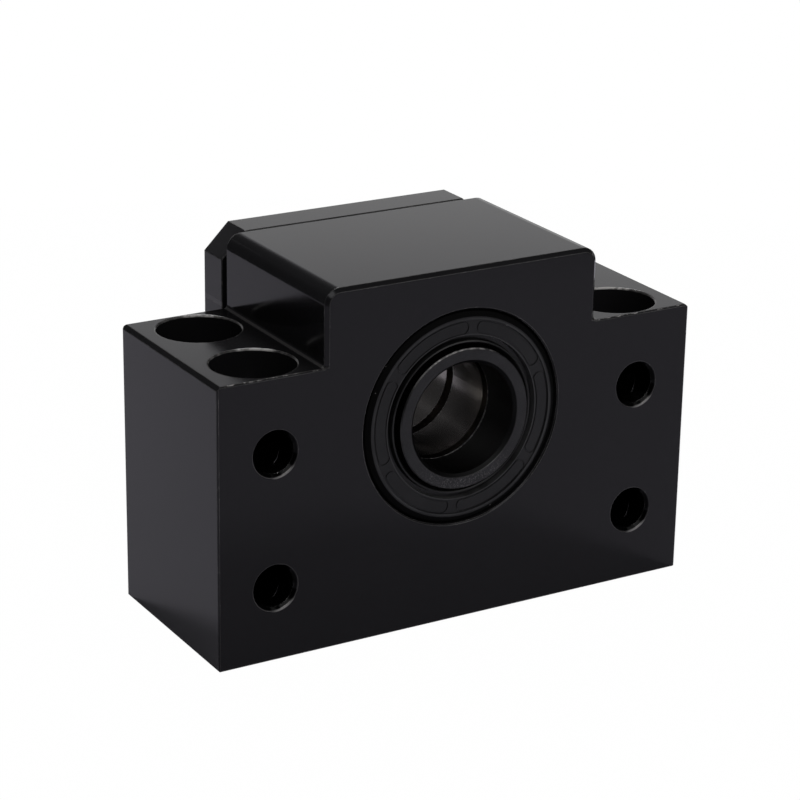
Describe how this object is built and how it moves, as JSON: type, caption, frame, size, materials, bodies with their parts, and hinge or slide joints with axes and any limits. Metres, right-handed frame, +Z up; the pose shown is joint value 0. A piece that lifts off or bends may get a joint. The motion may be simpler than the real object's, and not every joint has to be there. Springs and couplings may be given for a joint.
{
  "type": "ball screw end support",
  "caption": "Black steel block with a sealed pair of angular contact bearings that holds and locates the fixed end of a ball screw.",
  "frame": {"origin": "on the base face, at the middle of the rectangle of the four base bolt holes, which is straight below the shaft and at mid-depth of the housing", "axes": "+Z up from the mounting face, +Y along the shaft from the front seal towards the retaining cover, +X across the base to the right as seen from the front"},
  "size_m": [0.07, 0.0336, 0.048],
  "materials": {
    "housing_black": "satin",
    "cover_black": "satin",
    "seal_rubber": "satin",
    "spring_steel": "satin",
    "collar_steel": "satin",
    "ring_steel": "polished",
    "ball_steel": "polished",
    "cage_polyamide": "matte",
    "screw_black": "satin"
  },
  "bodies": {
    "housing_body": {"housing": "housing_black", "front_seal": "seal_rubber", "front_seal_spring": "spring_steel", "front_outer_ring": "ring_steel", "rear_outer_ring": "ring_steel", "rear_seal": "seal_rubber", "rear_seal_spring": "spring_steel", "retaining_cover": "cover_black", "cover_screws": "screw_black"},
    "spindle": {"front_collar": "collar_steel", "front_inner_ring": "ring_steel", "rear_inner_ring": "ring_steel", "rear_collar": "collar_steel"},
    "front_ball_set": {"front_cage": "cage_polyamide", "front_ball_1": "ball_steel", "front_ball_2": "ball_steel", "front_ball_3": "ball_steel", "front_ball_4": "ball_steel", "front_ball_5": "ball_steel", "front_ball_6": "ball_steel", "front_ball_7": "ball_steel", "front_ball_8": "ball_steel", "front_ball_9": "ball_steel", "front_ball_10": "ball_steel", "front_ball_11": "ball_steel"},
    "rear_ball_set": {"rear_cage": "cage_polyamide", "rear_ball_1": "ball_steel", "rear_ball_2": "ball_steel", "rear_ball_3": "ball_steel", "rear_ball_4": "ball_steel", "rear_ball_5": "ball_steel", "rear_ball_6": "ball_steel", "rear_ball_7": "ball_steel", "rear_ball_8": "ball_steel", "rear_ball_9": "ball_steel", "rear_ball_10": "ball_steel", "rear_ball_11": "ball_steel"}
  },
  "joints": [
    {"name": "shaft_spin", "type": "hinge", "parent": "housing_body", "child": "spindle", "pos_m": [0, 0, 0.028], "axis": [0, 1, 0], "continuous": true},
    {"name": "front_cage_spin", "type": "hinge", "parent": "housing_body", "child": "front_ball_set", "pos_m": [0, 0, 0.028], "axis": [0, 1, 0], "continuous": true},
    {"name": "rear_cage_spin", "type": "hinge", "parent": "housing_body", "child": "rear_ball_set", "pos_m": [0, 0, 0.028], "axis": [0, 1, 0], "continuous": true}
  ],
  "couplings": [
    {"joint": "front_cage_spin", "follows": "shaft_spin", "ratio": 0.4123},
    {"joint": "rear_cage_spin", "follows": "shaft_spin", "ratio": 0.4123}
  ]
}
